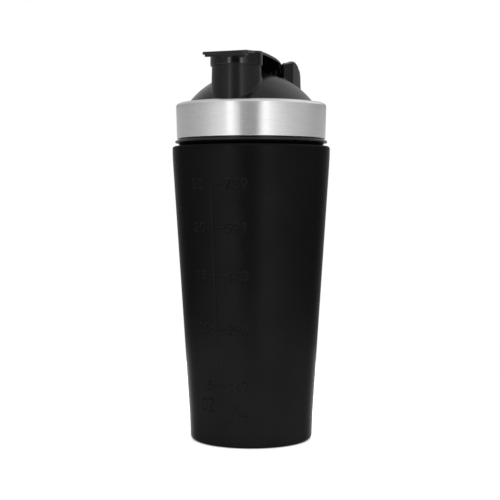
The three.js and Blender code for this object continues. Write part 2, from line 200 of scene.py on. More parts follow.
def flatten_shading(piece):
    """Keeps broad faces flat, so that only the narrow rounded edges between them look curved."""
    step = piece.modifiers.new("flat_faces", "WEIGHTED_NORMAL")
    step.keep_sharp = True


def dress(piece, body, nodes, material):
    """Gives a piece its material, body and the CAD nodes that it stands for."""
    piece.data.materials.clear()
    piece.data.materials.append(material)
    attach(piece, body)
    if nodes:
        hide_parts(*nodes)


def grid_faces(rows, columns, wrap_rows=False, wrap_columns=True):
    """Quads of a grid of points numbered row by row."""
    faces = []
    for i in range(rows if wrap_rows else rows - 1):
        below, above = i * columns, (i + 1) % rows * columns
        for j in range(columns if wrap_columns else columns - 1):
            k = (j + 1) % columns
            faces.append((below + j, below + k, above + k, above + j))
    return faces


def revolve(outline, angles=192, shift=None):
    """Points and faces of an outline of [radius, z] turned about Z. An outline that starts and ends
    on the axis makes a solid, and any other outline closes on itself. angles is a count or a list.
    shift(angle, radius, height) gives how far each point moves outwards."""
    outline = np.array(outline, float)
    if np.isscalar(angles):
        angles = np.linspace(0, 2 * math.pi, angles, endpoint=False)
    turn = angles
    radius = np.repeat(outline[:, :1], len(turn), axis=1)
    height = np.repeat(outline[:, 1:], len(turn), axis=1)
    if shift is not None:
        radius = radius + shift(turn[None, :], radius, height)
    around = np.stack([radius * np.cos(turn), radius * np.sin(turn), height], axis=-1)
    on_axis = outline[0, 0] < 1e-6
    faces = grid_faces(len(outline), len(turn), wrap_rows=not on_axis)
    return around.reshape(-1, 3), faces


def arc(centre, radius, start, stop, steps=6):
    """Points on a circle's arc, in degrees."""
    angles = np.radians(np.linspace(start, stop, steps + 1))
    return [(centre[0] + radius * math.cos(a), centre[1] + radius * math.sin(a)) for a in angles]


def even_line(start, stop, count):
    """So many points from start up to but not including stop."""
    start, stop = np.array(start, float), np.array(stop, float)
    return [tuple(start + (stop - start) * i / count) for i in range(count)]


def line(start, stop, step):
    """Points from start up to but not including stop, about step apart."""
    return even_line(start, stop, max(1, round(math.dist(start, stop) / step)))


def combine(piece, other, operation):
    """Joins other to piece, or cuts it away, and deletes other."""
    step = piece.modifiers.new("combine", "BOOLEAN")
    step.operation, step.solver, step.object = operation, "EXACT", other
    depsgraph = bpy.context.evaluated_depsgraph_get()
    mesh = bpy.data.meshes.new_from_object(piece.evaluated_get(depsgraph))
    piece.modifiers.clear()
    piece.data = mesh
    bpy.data.objects.remove(other, do_unlink=True)


def bevelled(name, points, faces, width, segments=3, sharp_degrees=30):
    """A loose solid with its sharp edges rounded."""
    piece = make_object(name, points, faces)
    work = bmesh.new()
    work.from_mesh(piece.data)
    edges = [e for e in work.edges if e.calc_face_angle(0) > math.radians(sharp_degrees)]
    bmesh.ops.bevel(work, geom=edges, offset=width * MM, segments=segments, affect="EDGES", profile=0.5)
    work.to_mesh(piece.data)
    work.free()
    return piece


def prism(outline, low, high, across="x"):
    """Points and faces of an outline pushed along X (drawn in Y, Z) or along Z (drawn in X, Y)."""
    count = len(outline)
    if across == "x":
        verts = [(end, a, b) for end in (low, high) for a, b in outline]
    else:
        verts = [(a, b, end) for end in (low, high) for a, b in outline]
    sides = [(i, (i + 1) % count, count + (i + 1) % count, count + i) for i in range(count)]
    return verts, [tuple(range(count))[::-1], tuple(range(count, 2 * count)), *sides]


def bar_outline(radius):
    """A circle about the hinge pin, drawn in Y, Z."""
    return arc((PIN_Y, PIN_Z), radius, 0, 360, 48)[:-1]


def bore(half_width):
    """A bar to cut the hinge pin's hole with."""
    return make_object("bore", *prism(bar_outline(PIN_RADIUS + BORE_GAP), -half_width, half_width))


def smooth_step(value, low, high):
    """Climbs from 0 at low to 1 at high, level at both ends."""
    share = min(max((value - low) / (high - low), 0), 1)
    return share * share * (3 - 2 * share)


# ---- Graduated scale ----

def arc_stroke(cx, cy, rx, ry, start, stop, steps=12):
    """Points on part of an ellipse, in degrees."""
    return [(cx + rx * math.cos(a), cy + ry * math.sin(a))
            for a in np.radians(np.linspace(start, stop, steps + 1))]


# Each sign is a list of strokes in a box one wide and one high.
SIGNS = {
    "0": [arc_stroke(0.5, 0.5, 0.42, 0.5, 0, 360, 20)],
    "1": [[(0.2, 0.78), (0.52, 1.0), (0.52, 0.0)]],
    "2": [arc_stroke(0.5, 0.7, 0.4, 0.3, 170, -35) + [(0.1, 0.0), (0.92, 0.0)]],
    "3": [arc_stroke(0.47, 0.75, 0.36, 0.25, 150, -80), arc_stroke(0.47, 0.27, 0.42, 0.27, 80, -150)],
    "4": [[(0.72, 0.0), (0.72, 1.0), (0.05, 0.3), (0.98, 0.3)]],
    "5": [[(0.85, 1.0), (0.2, 1.0), (0.14, 0.53)] + arc_stroke(0.47, 0.33, 0.42, 0.33, 125, -150)],
    "6": [arc_stroke(0.5, 0.32, 0.4, 0.32, 0, 360, 18), [(0.11, 0.4), (0.3, 0.75), (0.68, 1.0)]],
    "7": [[(0.08, 1.0), (0.92, 1.0), (0.38, 0.0)]],
    "9": [arc_stroke(0.5, 0.68, 0.4, 0.32, 0, 360, 18), [(0.89, 0.6), (0.7, 0.25), (0.32, 0.0)]],
    "O": [arc_stroke(0.5, 0.5, 0.46, 0.5, 0, 360, 20)],
    "Z": [[(0.08, 1.0), (0.92, 1.0), (0.08, 0.0), (0.92, 0.0)]],
    "M": [[(0.05, 0.0), (0.05, 1.0), (0.5, 0.35), (0.95, 1.0), (0.95, 0.0)]],
    "L": [[(0.12, 1.0), (0.12, 0.0), (0.9, 0.0)]],
}


def word_strokes(word, left, middle_z, size=1.0):
    """The segments of a word whose left end is at left, in millimetres round the wall."""
    segments = []
    for place, sign in enumerate(word):
        for stroke in SIGNS[sign]:
            points = [(left + (place * DIGIT_ADVANCE + x * DIGIT_WIDTH) * size,
                       middle_z + (y - 0.5) * DIGIT_HEIGHT * size) for x, y in stroke]
            segments += zip(points[:-1], points[1:])
    return segments


def scale_segments():
    """The segments of the signs, and those of the ticks."""
    signs = word_strokes("OZ", -15.4, UNITS_Z + 0.9, UNITS_SIZE)
    signs += word_strokes("ML", 10.2, UNITS_Z - 0.9, UNITS_SIZE)
    ticks = []
    for ounces, millilitres, z in SCALE_ROWS:
        signs += word_strokes(ounces, -4.4 - len(ounces) * DIGIT_ADVANCE, z)
        signs += word_strokes(millilitres, 8.0, z)
        ticks += [((start, z), (stop, z)) for start, stop in TICKS]
    return signs, ticks


def segment_distance(points, segments):
    """Distance from each point to the nearest segment."""
    nearest = np.full(points.shape[:-1], 1e3)
    for start, stop in segments:
        start, along = np.array(start), np.array(stop) - np.array(start)
        share = np.clip(((points - start) @ along) / (along @ along), 0, 1)
        gap = np.linalg.norm(points - start - share[..., None] * along, axis=-1)
        nearest = np.minimum(nearest, gap)
    return nearest


def groove(distance, flat, edge):
    """1 on the floor of a groove, 0 outside it, with a soft wall between."""
    share = np.clip((distance - flat) / (edge - flat), 0, 1)
    return 1 - share * share * (3 - 2 * share)


def scale_shift(angle, height):
    """How far the wall is pressed in for the scale. angle is measured from +X."""
    from_line = (angle + math.pi / 2 - SCALE_ANGLE + math.pi) % (2 * math.pi) - math.pi
    places = np.stack([from_line * SCALE_RADIUS + 0 * height, height + 0 * from_line], axis=-1)
    near = (np.abs(places[..., 0]) < SCALE_REACH) & (height > SCALE_SPAN[0]) & (height < SCALE_SPAN[1])
    signs, ticks = scale_segments()
    pressed = np.zeros(places.shape[:-1])
    spots = places[near]
    across, z = spots[:, 0], spots[:, 1]
    top, bottom = SCALE_ROWS[0][2], SCALE_ROWS[-1][2]
    half_length = (top - bottom) / 2
    ends = groove(np.abs(z - (top + bottom) / 2), half_length - LINE_FADE, half_length)
    profile = np.array(LINE_PROFILE)
    upright = np.interp(across, profile[:, 0], profile[:, 1]) * ends
    depth = np.maximum(SIGN_DEPTH * groove(segment_distance(spots, signs), 0.1, 0.66),
                       TICK_DEPTH * groove(segment_distance(spots, ticks), 0.1, 0.6))
    pressed[near] = np.maximum(depth, LINE_DEPTH * upright)
    return -pressed


def ridge_shift(angle, height, start_z, turns):
    """How far a screw ridge stands out of its wall."""
    out = np.zeros(np.broadcast(angle, height).shape)
    for lap in range(math.ceil(turns) + 1):
        turn = (angle % (2 * math.pi)) / (2 * math.pi) + lap
        off = np.abs(height - start_z - PITCH * turn)
        rise = np.clip((RIDGE_ROOT / 2 - off) / (RIDGE_ROOT - RIDGE_CREST) * 2, 0, 1)
        fade = np.clip(np.minimum(turn, turns - turn) / 0.06, 0, 1)
        out = np.maximum(out, rise * fade * RIDGE_DEPTH)
    return out


# ---- Materials ----

def add_node(tree, kind, links=(), **settings):
    """A new node. links gives each named socket another node's output, or a value."""
    node = tree.nodes.new(kind)
    for key, value in settings.items():
        setattr(node, key, value)
    for socket, source in dict(links).items():
        if isinstance(source, bpy.types.NodeSocket):
            tree.links.new(source, node.inputs[socket])
        else:
            node.inputs[socket].default_value = source
    return node


class Nodes:
    """A material's node tree with short ways to add what the surfaces here need."""

    def __init__(self, name, **inputs):
        self.material = bpy.data.materials.new(name)
        self.material.use_nodes = True
        self.tree = self.material.node_tree
        self.shader = self.tree.nodes["Principled BSDF"]
        for socket, value in inputs.items():
            self.shader.inputs[socket.replace("_", " ")].default_value = value
        self.place = self.tree.nodes.new("ShaderNodeTexCoord").outputs["Object"]

    def add(self, kind, links=(), **settings):
        return add_node(self.tree, kind, links, **settings)

    def noise(self, scale, detail=3.0, roughness=0.55, vector=None):
        links = {"Vector": vector or self.place, "Scale": scale}
        links |= {"Detail": detail, "Roughness": roughness}
        return self.add("ShaderNodeTexNoise", links).outputs["Fac"]

    def spread(self, source, low, high, from_low=0.3, from_high=0.7):
        """Maps a noise's usual range onto low to high."""
        links = {"Value": source, "From Min": from_low, "From Max": from_high}
        links |= {"To Min": low, "To Max": high}
        return self.add("ShaderNodeMapRange", links).outputs["Result"]

    def colour(self, source, low, high):
        """Base colour between two colours."""
        mix = self.add("ShaderNodeMix", {"Factor": source}, data_type="RGBA")
        mix.inputs["A"].default_value = (*low, 1)
        mix.inputs["B"].default_value = (*high, 1)
        self.feed("Base Color", mix.outputs["Result"])

    def bump(self, height, strength, distance, under=None):
        links = {"Height": height, "Strength": strength, "Distance": distance}
        if under is not None:
            links["Normal"] = under
        return self.add("ShaderNodeBump", links).outputs["Normal"]

    def feed(self, socket, source):
        self.tree.links.new(source, self.shader.inputs[socket])


def powder_coat():
    """Satin black powder coat: a fine orange-peel grain and slightly cloudy gloss. Its metallic share
    and grey tint keep the pale room from whitening the cup's sides where they turn away."""
    nodes = Nodes("powder_coat", IOR=1.5, Metallic=0.8)
    nodes.shader.inputs["Specular IOR Level"].default_value = 0.09
    nodes.shader.inputs["Specular Tint"].default_value = (0.45, 0.45, 0.45, 1)
    cloud = nodes.noise(38, 2)
    nodes.colour(nodes.spread(cloud, 0, 1), (0.0074, 0.0074, 0.0076), (0.0092, 0.0092, 0.0094))
    grain = nodes.noise(2600, 2, 0.6)
    nodes.feed("Roughness", nodes.spread(nodes.noise(420, 3), 0.27, 0.33))
    peel = nodes.bump(nodes.noise(900, 2), 0.08, 0.00004)
    nodes.feed("Normal", nodes.bump(grain, 0.08, 0.00003, peel))
    return nodes.material


def moulded_plastic(name, low, high, rough, grain_strength, specular=0.4):
    """Black moulded plastic with a very fine spark-eroded grain."""
    nodes = Nodes(name, IOR=1.46)
    nodes.shader.inputs["Specular IOR Level"].default_value = specular
    nodes.colour(nodes.spread(nodes.noise(60, 2), 0, 1), (low,) * 3, (high,) * 3)
    nodes.feed("Roughness", nodes.spread(nodes.noise(700, 3), rough - 0.03, rough + 0.03))
    nodes.feed("Normal", nodes.bump(nodes.noise(3200, 2, 0.6), grain_strength, 0.00003))
    return nodes.material


def brushed_steel():
    """Steel brushed round the band: long fine scratches that run round Z. The noise is laid out by
    angle and height, and its third coordinate only keeps it from repeating."""
    nodes = Nodes("brushed_band", Metallic=1.0, Anisotropic=0.8, Anisotropic_Rotation=0.25)
    turn = nodes.add("ShaderNodeTangent", direction_type="RADIAL", axis="Z").outputs["Tangent"]
    nodes.feed("Tangent", turn)
    split = nodes.add("ShaderNodeSeparateXYZ", {"Vector": nodes.place}).outputs
    angle = nodes.add("ShaderNodeMath", {0: split["Y"], 1: split["X"]}, operation="ARCTAN2").outputs[0]
    third = nodes.add("ShaderNodeMath", {0: split["X"], 1: split["Y"]}, operation="MAXIMUM").outputs[0]
    round_band = nodes.add("ShaderNodeCombineXYZ", {"X": angle, "Y": split["Z"], "Z": third}).outputs[0]
    scratch = nodes.add("ShaderNodeMapping", {"Vector": round_band, "Scale": (3, 9000, 60)}).outputs[0]
    lines = nodes.noise(1.0, 4, 0.7, scratch)
    broad = nodes.add("ShaderNodeMapping", {"Vector": round_band, "Scale": (5, 3200, 20)}).outputs[0]
    wide_lines = nodes.noise(1.0, 2, 0.5, broad)
    nodes.colour(nodes.spread(wide_lines, 0, 1), (0.63, 0.63, 0.635), (0.685, 0.685, 0.69))
    nodes.feed("Roughness", nodes.spread(lines, 0.22, 0.28))
    nodes.feed("Normal", nodes.bump(lines, 0.05, 0.00002))
    return nodes.material


def bare_steel(name, rough):
    """Plain drawn steel with faint cloudy wear."""
    nodes = Nodes(name, Metallic=1.0)
    nodes.colour(nodes.spread(nodes.noise(90, 3), 0, 1), (0.58, 0.58, 0.59), (0.66, 0.66, 0.665))
    nodes.feed("Roughness", nodes.spread(nodes.noise(500, 3), rough - 0.05, rough + 0.05))
    nodes.feed("Normal", nodes.bump(nodes.noise(1500, 2), 0.08, 0.00002))
    return nodes.material


def silicone():
    """Soft matt silicone with a dusty bloom."""
    nodes = Nodes("silicone", IOR=1.41)
    nodes.shader.inputs["Sheen Weight"].default_value = 0.12
    nodes.colour(nodes.spread(nodes.noise(120, 3), 0, 1), (0.040, 0.041, 0.043), (0.056, 0.057, 0.060))
    nodes.feed("Roughness", nodes.spread(nodes.noise(600, 3), 0.62, 0.74))
    nodes.feed("Normal", nodes.bump(nodes.noise(1800, 2), 0.15, 0.00004))
    return nodes.material


def plain_floor():
    nodes = Nodes("studio_floor")
    nodes.shader.inputs["Emission Strength"].default_value = 0.4
    nodes.shader.inputs["Emission Color"].default_value = (1, 1, 1, 1)
    nodes.colour(nodes.spread(nodes.noise(0.8, 2), 0, 1), (0.86, 0.86, 0.86), (0.88, 0.88, 0.88))
    nodes.feed("Roughness", nodes.spread(nodes.noise(6, 2), 0.75, 0.85))
    return nodes.material


# ---- Cup ----

def cup_outline():
    """From the axis under the base, up the outside, over the mouth and down to the floor inside. The
    wall's rows are close together where the scale's signs are. Also gives how many points are outside."""
    recess, corner = 1.6, 2.4
    shoulder_corner = 1.5
    corner_centre = (SHOULDER_RADIUS - shoulder_corner, SHOULDER_Z - shoulder_corner)
    fine_step, coarse_step = 0.27, 3.0
    wall = [KINK[1]]
    for z in sorted([z for *_, z in SCALE_ROWS] + [UNITS_Z]):
        reach = DIGIT_HEIGHT / 2 * (UNITS_SIZE + 0.4 if z == UNITS_Z else 1) + 0.9
        wall += list(np.arange(max(z - reach, wall[-1] + 0.25), z + reach, fine_step))
    wall = fill_gaps(sorted(wall + [TOP_KINK[1]]), coarse_step)
    slope = (TOP_KINK[0] - KINK[0]) / (TOP_KINK[1] - KINK[1])
    taper = [(KINK[0] + (z - KINK[1]) * slope, z) for z in wall]
    foot_corner = (FOOT_RADIUS - corner, corner)
    lip = (NECK_RADIUS - CUP_WALL / 2, MOUTH_Z - CUP_WALL / 2)
    neck_foot = (NECK_RADIUS + 1.5, SHOULDER_Z)
    outside = [
        (0, recess), (10, recess), (20, recess), (FOOT_INNER - 2.2, recess),
        (FOOT_INNER - 1.0, recess - 0.35), (FOOT_INNER - 0.3, 0.4), (FOOT_INNER + 0.4, 0.05),
        (FOOT_INNER + 1.0, 0), (31.5, 0),
        *arc(foot_corner, corner, -90, 0, 8),
        *line((FOOT_RADIUS + 0.03, corner + 0.8), (KINK[0] - 0.02, KINK[1] - 0.6), 2.5),
        *taper,
        *line((TOP_KINK[0] + 0.1, TOP_KINK[1] + 1.6), (SHOULDER_RADIUS, SHOULDER_Z - 4), 2.0),
        *arc(corner_centre, shoulder_corner, 0, 90, 8),
        *line((SHOULDER_RADIUS - 2.2, SHOULDER_Z), neck_foot, 1.2),
        *arc((NECK_RADIUS + 1.5, SHOULDER_Z + 1.5), 1.5, -90, -180, 6),
        *line((NECK_RADIUS, SHOULDER_Z + 1.9), (NECK_RADIUS, MOUTH_Z - 1.2), 0.32),
    ]
    inside = [
        *arc(lip, CUP_WALL / 2, 0, 180, 8),
        *line((NECK_RADIUS - CUP_WALL, MOUTH_Z - 3), (NECK_RADIUS - CUP_WALL, SHOULDER_Z + 1.2), 4),
        *arc((NECK_RADIUS - CUP_WALL + 1.4, SHOULDER_Z + 0.6), 1.4, 180, 270, 4),
        *arc(corner_centre, shoulder_corner - CUP_WALL, 90, 0, 4),
        (SHOULDER_RADIUS - CUP_WALL - 0.15, TOP_KINK[1] + 5),
        *[(r - CUP_WALL, z) for r, z in line(TOP_KINK, KINK, 12)],
        (KINK[0] - CUP_WALL, KINK[1]),
        *arc((FOOT_RADIUS - CUP_WALL - 3, recess + CUP_WALL + 3), 3, 0, -90, 6),
        (20, recess + CUP_WALL), (10, recess + CUP_WALL), (0, recess + CUP_WALL),
    ]
    return outside + inside, len(outside)


def fill_gaps(heights, most):
    """Adds heights so that no two neighbours are further apart than most."""
    filled = [heights[0]]
    for z in heights[1:]:
        if z - filled[-1] < 0.05:
            continue
        count = math.ceil((z - filled[-1]) / most - 1e-9)
        start = filled[-1]
        filled += [start + (z - start) * (i + 1) / count for i in range(count)]
    return filled


def cup_angles():
    """Angles round the cup: close together over the scale, and wider apart elsewhere."""
    low, high = [SCALE_ANGLE - math.pi / 2 + math.radians(end) for end in FINE_ARC]
    fine = np.linspace(low, high, FINE_STEPS, endpoint=False)
    coarse = np.linspace(high, low + 2 * math.pi, COARSE_STEPS, endpoint=False)
    return np.concatenate([fine, coarse])


def make_cup(coat, steel):
    outline, outer_rows = cup_outline()

    def shift(angle, radius, height):
        moved = np.zeros(np.broadcast(angle, height).shape)
        outer = slice(0, outer_rows)
        moved[outer] = scale_shift(angle, height[outer])
        neck = (np.abs(radius - NECK_RADIUS) < 0.01) & (height > SHOULDER_Z + 2)
        ridges = ridge_shift(angle, height, NECK_RIDGE_Z, NECK_TURNS)
        return np.where(neck, ridges, moved)

    verts, faces = revolve(outline, cup_angles(), shift)
    piece = make_object("cup_body", verts, faces, "cup_body", "coated_steel", ["cup"], coat, 50)
    piece.data.materials.append(steel)
    bare = inside_or_neck(piece.data)
    piece.data.polygons.foreach_set("material_index", bare.astype(np.int32))
    return piece


def inside_or_neck(mesh):
    """1 for each face of bare steel: the neck above the shoulder and the inside of the cup."""
    centres = np.empty(len(mesh.polygons) * 3)
    normals = np.empty(len(mesh.polygons) * 3)
    mesh.polygons.foreach_get("center", centres)
    mesh.polygons.foreach_get("normal", normals)
    centres, normals = centres.reshape(-1, 3) / MM, normals.reshape(-1, 3)
    radius = np.hypot(centres[:, 0], centres[:, 1])
    outwards = (centres[:, :2] * normals[:, :2]).sum(1) / np.maximum(radius, 0.01)
    facing_in = (outwards < -0.3) & (centres[:, 2] > 2.2) & (radius > 25)
    floor = (centres[:, 2] > 2.2) & (centres[:, 2] < 6) & (normals[:, 2] > 0.5)
    neck = (radius < NECK_RADIUS + 1.45) & (centres[:, 2] > SHOULDER_Z + 3.5)
    return facing_in | floor | neck


# ---- Lid ----

def band_radius(z):
    """The band leans out a little from its foot to its top."""
    share = (z - RIM_Z[1]) / (BAND_HIGH[2] - RIM_Z[1])
    return BAND_FOOT_RADIUS + (BAND_RADIUS - BAND_FOOT_RADIUS) * share


def dome_height(distance, radius=DOME_RADIUS):
    return DOME_Z + math.sqrt(max(radius ** 2 - distance ** 2, 0.0))


def dome_arc(radius, foot_z, steps):
    """The dome's outline from a height up to its top."""
    start = math.degrees(math.asin((foot_z - DOME_Z) / radius))
    return arc((0, DOME_Z), radius, start, 90, steps)[:-1] + [(0, DOME_Z + radius)]


def lid_outline():
    """From the dome's apex inside, down the skirt, round the rim and up to the apex outside."""
    bottom, lip, rim = SHELL_LOW[2], LIP_RADIUS, RIM_RADIUS
    rim_top = RIM_Z[1] - RIM_GROOVE
    under_deck = DECK_Z - LID_WALL
    inner = dome_arc(DOME_RADIUS - LID_WALL, under_deck, 24)[::-1]
    skirt = band_radius(RIM_Z[1]) - BAND_WALL - GAP
    groove_floor = skirt - GROOVE_DEPTH
    top_skirt = band_radius(DECK_Z) - BAND_WALL - GAP
    outer = dome_arc(DOME_RADIUS, DECK_Z, 48)
    return [
        *inner,
        *line((38, under_deck), (SKIRT_INNER, under_deck), 1.0),
        *line((SKIRT_INNER, under_deck - 0.1), (SKIRT_INNER, bottom + 0.5), 0.34),
        (SKIRT_INNER + 0.4, bottom), (lip - 0.5, bottom), (lip - 0.3, bottom + 0.15),
        (lip + 0.9, RIM_Z[0] - 0.05), (lip + 1.1, RIM_Z[0]),
        *arc((rim - 0.35, RIM_Z[0] + 0.35), 0.35, -90, 0, 5),
        *arc((rim - 0.45, rim_top - 0.45), 0.45, 0, 90, 4),
        (groove_floor + 0.1, rim_top), (groove_floor, rim_top + 0.1),
        (groove_floor, RIM_Z[1] + 0.1), (skirt, RIM_Z[1] + 1.1),
        (top_skirt - 0.05, DECK_Z - 2), (top_skirt - 0.6, DECK_Z - 0.6), (top_skirt - 2, DECK_Z),
        (outer[0][0] + 1.2, DECK_Z),
        *outer,
    ]


def lid_shift(angle, radius, height):
    """The lid's own thread, half a pitch away from the cup's."""
    inner_wall = (np.abs(radius - SKIRT_INNER) < 0.01) & (height < DECK_Z - LID_WALL - 1)
    return np.where(inner_wall, -ridge_shift(angle, height, NECK_RIDGE_Z + PITCH / 2, LID_TURNS), 0)


def spout_outline(out):
    """The spout's wall in the upright plane through its axis along out, as (reach, z). It starts
    under the dome's skin, climbs over a small fillet and the lip, and ends at the bore's foot."""
    def skin(reach, radius=DOME_RADIUS, flat=DECK_Z):
        distance = math.hypot(reach * out[0], SPOUT_Y + reach * out[1])
        return max(dome_height(distance, radius), flat)

    wall, edge = SPOUT_BASE_RADIUS, 0.7
    distance = math.hypot(wall * out[0], SPOUT_Y + wall * out[1])
    fillet = min(0.45, max(0.2, BAND_INNER - 0.1 - distance))
    foot_z = skin(wall) + fillet
    lip_z = SPOUT_TOP_Z - edge
    lean = (SPOUT_BASE_RADIUS - SPOUT_TOP_RADIUS) / (SPOUT_TOP_Z - DECK_Z)
    outline = [(wall + fillet, skin(wall + fillet) - 1.1)]
    for bend in np.radians(np.linspace(0, 90, 9)):
        reach = wall + fillet * (1 - math.sin(bend))
        outline.append((reach, skin(reach) + fillet * (1 - math.cos(bend))))
    for share in np.linspace(0.08, 1, 9):
        z = foot_z + (lip_z - foot_z) * share
        outline.append((wall - lean * (z - foot_z), z))
    outline += arc((outline[-1][0] - edge, lip_z), edge, 15, 90, 5)
    outline += arc((SPOUT_BORE + edge, lip_z), edge, 90, 180, 5)
    low = skin(SPOUT_BORE, DOME_RADIUS - LID_WALL, DECK_Z - LID_WALL) - 0.15
    outline += [(SPOUT_BORE, SPOUT_TOP_Z - 8), (SPOUT_BORE, low + 0.5), (SPOUT_BORE + 0.25, low)]
    return outline


def spout_tube():
    """The spout with its fillet onto the dome: one closed outline for each angle round it."""
    steps = 144
    rows = []
    for turn in np.linspace(0, 2 * math.pi, steps, endpoint=False):
        out = math.cos(turn), math.sin(turn)
        rows.append([(reach * out[0], SPOUT_Y + reach * out[1], z) for reach, z in spout_outline(out)])
    verts = np.array(rows)
    return verts.reshape(-1, 3), grid_faces(steps, verts.shape[1], wrap_rows=True)


def ear(low, high):
    """One hinge ear between two places along X."""
    reach, z = EAR_FOOT
    outline = [(PIN_Y - reach, z), (PIN_Y + reach, z), *arc((PIN_Y, PIN_Z), EAR_RADIUS, 0, 180, 20)]
    return bevelled("ear", *prism(outline, low, high), 0.45)


def make_lid(plastic):
    lid = make_object("lid_moulding", *revolve(lid_outline(), 192, lid_shift))
    hole = arc((0, SPOUT_Y), SPOUT_BORE + 0.5, 0, 360, 96)[:-1]
    combine(lid, make_object("hole", *prism(hole, 185, 222, "z")), "DIFFERENCE")
    combine(lid, make_object("spout", *spout_tube()), "UNION")
    combine(lid, ear(*EAR_X), "UNION")
    combine(lid, ear(-EAR_X[1], -EAR_X[0]), "UNION")
    combine(lid, dome_cavity(), "DIFFERENCE")
    combine(lid, bore(14), "DIFFERENCE")
    tidy_mesh(lid.data, 40, 1e-6)
    flatten_shading(lid)
    dress(lid, "lid", ["lid_shell"], plastic)
    return lid


def dome_cavity():
    """What the ears' feet must not reach into: the hollow under the dome behind the spout."""
    radius = DOME_RADIUS - LID_WALL
    floor_z, skin = 200, 0.02
    start = math.degrees(math.asin((floor_z - DOME_Z) / radius))
    outline = [
        (0, floor_z), (math.sqrt(radius ** 2 - (floor_z - DOME_Z) ** 2) - skin, floor_z),
        *arc((0, DOME_Z), radius - skin, start, 90, 24)[1:-1],
        (0, DOME_Z + radius - skin),
    ]
    cavity = make_object("cavity", *revolve(outline, 96))
    behind_spout = [(6, 190), (40, 190), (40, 230), (6, 230)]
    combine(cavity, make_object("keep", *prism(behind_spout, -14, 14)), "INTERSECT")
    return cavity


def make_band(steel):
    bottom, top = BAND_LOW[2] - BAND_DROP, BAND_HIGH[2]
    corner = (BAND_RADIUS - BAND_CORNER, top - BAND_CORNER)
    foot = BAND_FOOT_RADIUS
    outline = [
        (foot - BAND_WALL, bottom + 0.25), (foot - BAND_WALL + 0.2, bottom), (foot - 0.25, bottom),
        (foot - 0.05, bottom + 0.1), (foot, bottom + 0.3),
        *line((foot + 0.02, bottom + 1.5), (BAND_RADIUS - 0.01, top - BAND_CORNER - 1), 2.0),
        *arc(corner, BAND_CORNER, 0, 90, 14),
        (BAND_INNER + 1.5, top), (BAND_INNER + 0.3, top), (BAND_INNER, top - 0.25),
        (BAND_INNER, top - BAND_WALL),
        *arc(corner, BAND_CORNER - BAND_WALL, 90, 0, 8),
    ]
    make_object("band", *revolve(outline, 256), "lid", "brushed_band", ["lid_band"], steel, 50)


def make_gasket(rubber):
    edge = 0.4
    inner, outer = GASKET_INNER + edge, GASKET_HIGH[0] - edge
    low, high = GASKET_LOW[2] + edge, GASKET_HIGH[2] - edge
    corners = [((outer, low), -90), ((outer, high), 0), ((inner, high), 90), ((inner, low), 180)]
    outline = [p for centre, start in corners for p in arc(centre, edge, start, start + 90, 5)]
    make_object("mouth_gasket", *revolve(outline, 160), "lid_carrier", "silicone", ["lid_gasket"], rubber)


# ---- Flip cap ----

def smooth_line(points, steps):
    """Points on a Catmull-Rom curve through the given points, with the direction at each."""
    points = np.array([2 * np.array(points[0]) - points[1], *points,
                       2 * np.array(points[-1]) - points[-2]])
    places, directions = [], []
    for t in np.linspace(0, len(points) - 3, steps):
        i = min(int(t), len(points) - 4)
        u = t - i
        a, b, c, d = points[i:i + 4]
        squared = 2 * a - 5 * b + 4 * c - d
        cubed = 3 * b - a - 3 * c + d
        places.append(0.5 * (2 * b + (c - a) * u + squared * u ** 2 + cubed * u ** 3))
        along = 0.5 * ((c - a) + 2 * squared * u + 3 * cubed * u ** 2)
        directions.append(along / np.linalg.norm(along))
    return np.array(places), np.array(directions)


def rounded_section(half_width, top, bottom, corner, steps=5):
    """A rounded rectangle from -half_width to half_width and from bottom to top."""
    corner = min(corner, half_width * 0.98, (top - bottom) / 2 * 0.98)
    centres = [(half_width - corner, top - corner, 0), (-half_width + corner, top - corner, 90),
               (-half_width + corner, bottom + corner, 180), (half_width - corner, bottom + corner, 270)]
    section = []
    for cx, cy, start in centres:
        section += arc((cx, cy), corner, start, start + 90, steps)
    return section


def ribbon(name, width_at, top_offset, bottom_offset, corner, y_range, steps=150):
    """A sheet that follows the strap's upper line, with rounded edges. Its front end is upright, and
    leans over to square with the line within upright_length."""
    upright_length = 4
    places, directions = smooth_line(CAP_LINE, 600)
    front = y_range[0] + corner * (1 - np.cos(np.linspace(0, 1.2, 5)))[:-1]
    rows = []
    for y in np.concatenate([front, np.linspace(*y_range, steps)[2:]]):
        i = int(np.argmin(np.abs(places[:, 0] - y)))
        place, along = places[i], directions[i]
        lean = smooth_step(y, y_range[0], y_range[0] + upright_length)
        normal = np.array((-along[1] * lean, along[0]))
        inset = max(0.0, corner - (y - y_range[0]))
        drop = corner - math.sqrt(max(corner ** 2 - inset ** 2, 0.0))
        section = rounded_section(width_at(y), -top_offset - drop, -bottom_offset + drop, corner)
        rows.append([(x, *(place + normal * n)) for x, n in section])
    rows = np.array(rows)
    columns = rows.shape[1]
    faces = grid_faces(len(rows), columns)
    faces.append(tuple(range(columns))[::-1])
    faces.append(tuple(range((len(rows) - 1) * columns, len(rows) * columns)))
    return make_object(name, rows.reshape(-1, 3), faces)


def cap_width(y):
    """Half the cap's width: rounded front corners, straight sides and a swell over the collar."""
    corner = TAB_CORNER
    width = CAP_HALF_WIDTH
    from_front = y - CAP_LOW[1]
    if from_front < corner:
        width -= corner - math.sqrt(max(corner ** 2 - (corner - from_front) ** 2, 0.0))
    across = COLLAR_RADIUS ** 2 - (y - SPOUT_Y) ** 2
    return max(width, math.sqrt(across)) if across > 0 else width


def lip_width(y):
    """Half the width of the lip under the thumb tab."""
    corner = 2.0
    from_front = y - (CAP_LOW[1] + 1)
    inset = corner - math.sqrt(max(corner ** 2 - max(corner - from_front, 0) ** 2, 0.0))
    return CAP_HALF_WIDTH - 1 - inset


